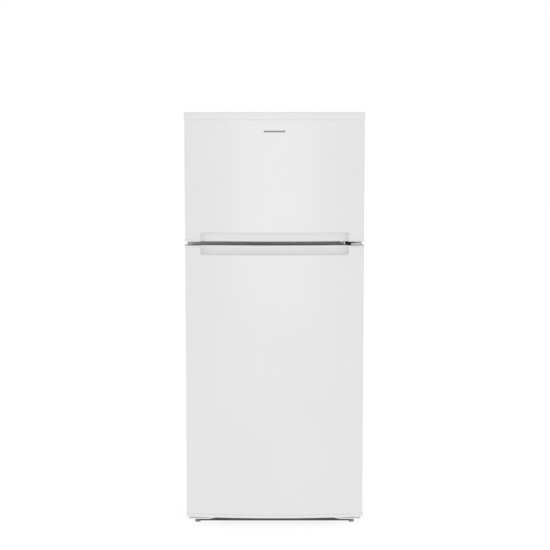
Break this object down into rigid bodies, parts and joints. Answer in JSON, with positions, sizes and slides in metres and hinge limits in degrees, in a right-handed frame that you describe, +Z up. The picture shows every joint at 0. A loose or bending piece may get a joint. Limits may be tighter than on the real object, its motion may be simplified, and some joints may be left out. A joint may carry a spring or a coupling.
{
  "type": "top freezer refrigerator",
  "caption": "White household refrigerator with a small freezer above a tall fresh-food compartment, right-hinged bowed doors with recessed pulls, shelves, drawers and door bins inside.",
  "frame": {"origin": "on the floor, under the middle of the whole object's box", "axes": "+Z up, +Y towards the wall behind, +X to the right of someone who faces the doors"},
  "size_m": [0.704, 0.74, 1.655],
  "materials": {
    "white_enamelled_steel": "gloss",
    "white_moulded_plastic": "satin",
    "liner_plastic": "gloss",
    "grey_rail_plastic": "satin",
    "dark_grille_plastic": "matte",
    "black_plastic": "satin",
    "galvanised_steel": "satin",
    "white_hinge_steel": "satin",
    "rigid_foam": "matte",
    "seal_rubber": "matte",
    "shelf_glass": "gloss",
    "clear_styrene": "gloss",
    "compressor_enamel": "satin",
    "condenser_enamel": "satin",
    "fin_aluminium": "satin",
    "foot_plastic": "matte",
    "fibre_board": "matte",
    "lamp_diffuser": "satin",
    "badge_metal": "satin"
  },
  "bodies": {
    "cabinet": {"cabinet_wrapper": "white_enamelled_steel", "top_hinge_cover": "white_moulded_plastic", "control_housing": "white_moulded_plastic", "upper_shelf_frame": "white_moulded_plastic", "lower_shelf_frame": "white_moulded_plastic", "crisper_cover_frame": "white_moulded_plastic", "fridge_liner": "liner_plastic", "freezer_liner": "liner_plastic", "freezer_back_cover": "liner_plastic", "mullion_rail": "grey_rail_plastic", "toe_grille": "dark_grille_plastic", "drip_pan": "dark_grille_plastic", "middle_hinge_stop": "black_plastic", "cord_gland": "black_plastic", "cabinet_back_panel": "galvanised_steel", "floor_pan": "galvanised_steel", "top_hinge": "galvanised_steel", "compressor_base": "galvanised_steel", "evaporator_fan_motor": "galvanised_steel", "middle_hinge": "white_hinge_steel", "bottom_hinge": "white_hinge_steel", "left_foot_bracket": "white_hinge_steel", "freezer_shelf": "white_hinge_steel", "cabinet_foam": "rigid_foam", "upper_shelf_glass": "shelf_glass", "lower_shelf_glass": "shelf_glass", "crisper_cover_glass": "shelf_glass", "compressor": "compressor_enamel", "condenser_coil": "condenser_enamel", "evaporator": "fin_aluminium", "machine_cover": "fibre_board", "lamp_cover": "lamp_diffuser"},
    "freezer_door": {"freezer_door_skin": "white_enamelled_steel", "freezer_door_top_cap": "white_moulded_plastic", "freezer_door_bottom_cap": "white_moulded_plastic", "freezer_door_liner": "liner_plastic", "freezer_door_foam": "rigid_foam", "freezer_door_gasket": "seal_rubber", "freezer_door_lower_bin": "clear_styrene", "freezer_door_upper_bin": "clear_styrene", "freezer_door_badge": "badge_metal"},
    "fridge_door": {"fridge_door_skin": "white_enamelled_steel", "fridge_door_top_cap": "white_moulded_plastic", "fridge_door_bottom_cap": "white_moulded_plastic", "fridge_door_liner": "liner_plastic", "fridge_door_foam": "rigid_foam", "fridge_door_gasket": "seal_rubber", "fridge_door_bottle_bin": "clear_styrene", "fridge_door_middle_bin": "clear_styrene", "dairy_bin": "white_moulded_plastic"},
    "dairy_door": {"dairy_door": "clear_styrene"},
    "crisper_left": {"crisper_left": "clear_styrene"},
    "crisper_right": {"crisper_right": "clear_styrene"},
    "temperature_dial": {"temperature_dial": "white_moulded_plastic"},
    "light_switch": {"light_switch_button": "white_moulded_plastic"},
    "evaporator_fan": {"evaporator_fan_blade": "black_plastic"},
    "left_foot": {"left_foot": "foot_plastic"},
    "right_foot": {"right_foot": "foot_plastic"},
    "left_roller": {"left_roller": "foot_plastic"},
    "right_roller": {"right_roller": "foot_plastic"}
  },
  "joints": [
    {"name": "freezer_door_hinge", "type": "hinge", "parent": "cabinet", "child": "freezer_door", "pos_m": [0.326, -0.31, 1.16], "axis": [0, 0, 1], "range_deg": [0, 120]},
    {"name": "fridge_door_hinge", "type": "hinge", "parent": "cabinet", "child": "fridge_door", "pos_m": [0.326, -0.31, 1.132], "axis": [0, 0, 1], "range_deg": [0, 120]},
    {"name": "dairy_door_hinge", "type": "hinge", "parent": "fridge_door", "child": "dairy_door", "pos_m": [0, -0.277, 0.9463], "axis": [1, 0, 0], "range_deg": [0, 85]},
    {"name": "crisper_left_slide", "type": "slide", "parent": "cabinet", "child": "crisper_left", "axis": [0, -1, 0], "range_m": [0, 0.2]},
    {"name": "crisper_right_slide", "type": "slide", "parent": "cabinet", "child": "crisper_right", "axis": [0, -1, 0], "range_m": [0, 0.2]},
    {"name": "temperature_dial_turn", "type": "hinge", "parent": "cabinet", "child": "temperature_dial", "pos_m": [-0.08, -0.234, 1.088], "axis": [0, -1, 0], "range_deg": [-140, 140]},
    {"name": "light_switch_slide", "type": "slide", "parent": "cabinet", "child": "light_switch", "axis": [0, -1, 0], "range_m": [0, 0.008]},
    {"name": "evaporator_fan_spin", "type": "hinge", "parent": "cabinet", "child": "evaporator_fan", "pos_m": [0, 0.274, 1.482], "axis": [0, 1, 0], "continuous": true},
    {"name": "left_foot_turn", "type": "hinge", "parent": "cabinet", "child": "left_foot", "pos_m": [-0.312, -0.233, 0.02], "axis": [0, 0, 1], "range_deg": [-180, 180]},
    {"name": "right_foot_turn", "type": "hinge", "parent": "cabinet", "child": "right_foot", "pos_m": [0.312, -0.233, 0.02], "axis": [0, 0, 1], "range_deg": [-180, 180]},
    {"name": "left_roller_spin", "type": "hinge", "parent": "cabinet", "child": "left_roller", "pos_m": [-0.3, 0.325, 0.016], "axis": [1, 0, 0], "continuous": true},
    {"name": "right_roller_spin", "type": "hinge", "parent": "cabinet", "child": "right_roller", "pos_m": [0.3, 0.325, 0.016], "axis": [1, 0, 0], "continuous": true}
  ],
  "couplings": [
    {"joint": "crisper_left_slide", "follows": "fridge_door_hinge", "m_per_rad": 0.095},
    {"joint": "crisper_right_slide", "follows": "fridge_door_hinge", "m_per_rad": 0.095},
    {"joint": "light_switch_slide", "follows": "fridge_door_hinge", "m_per_rad": 0.0038}
  ]
}
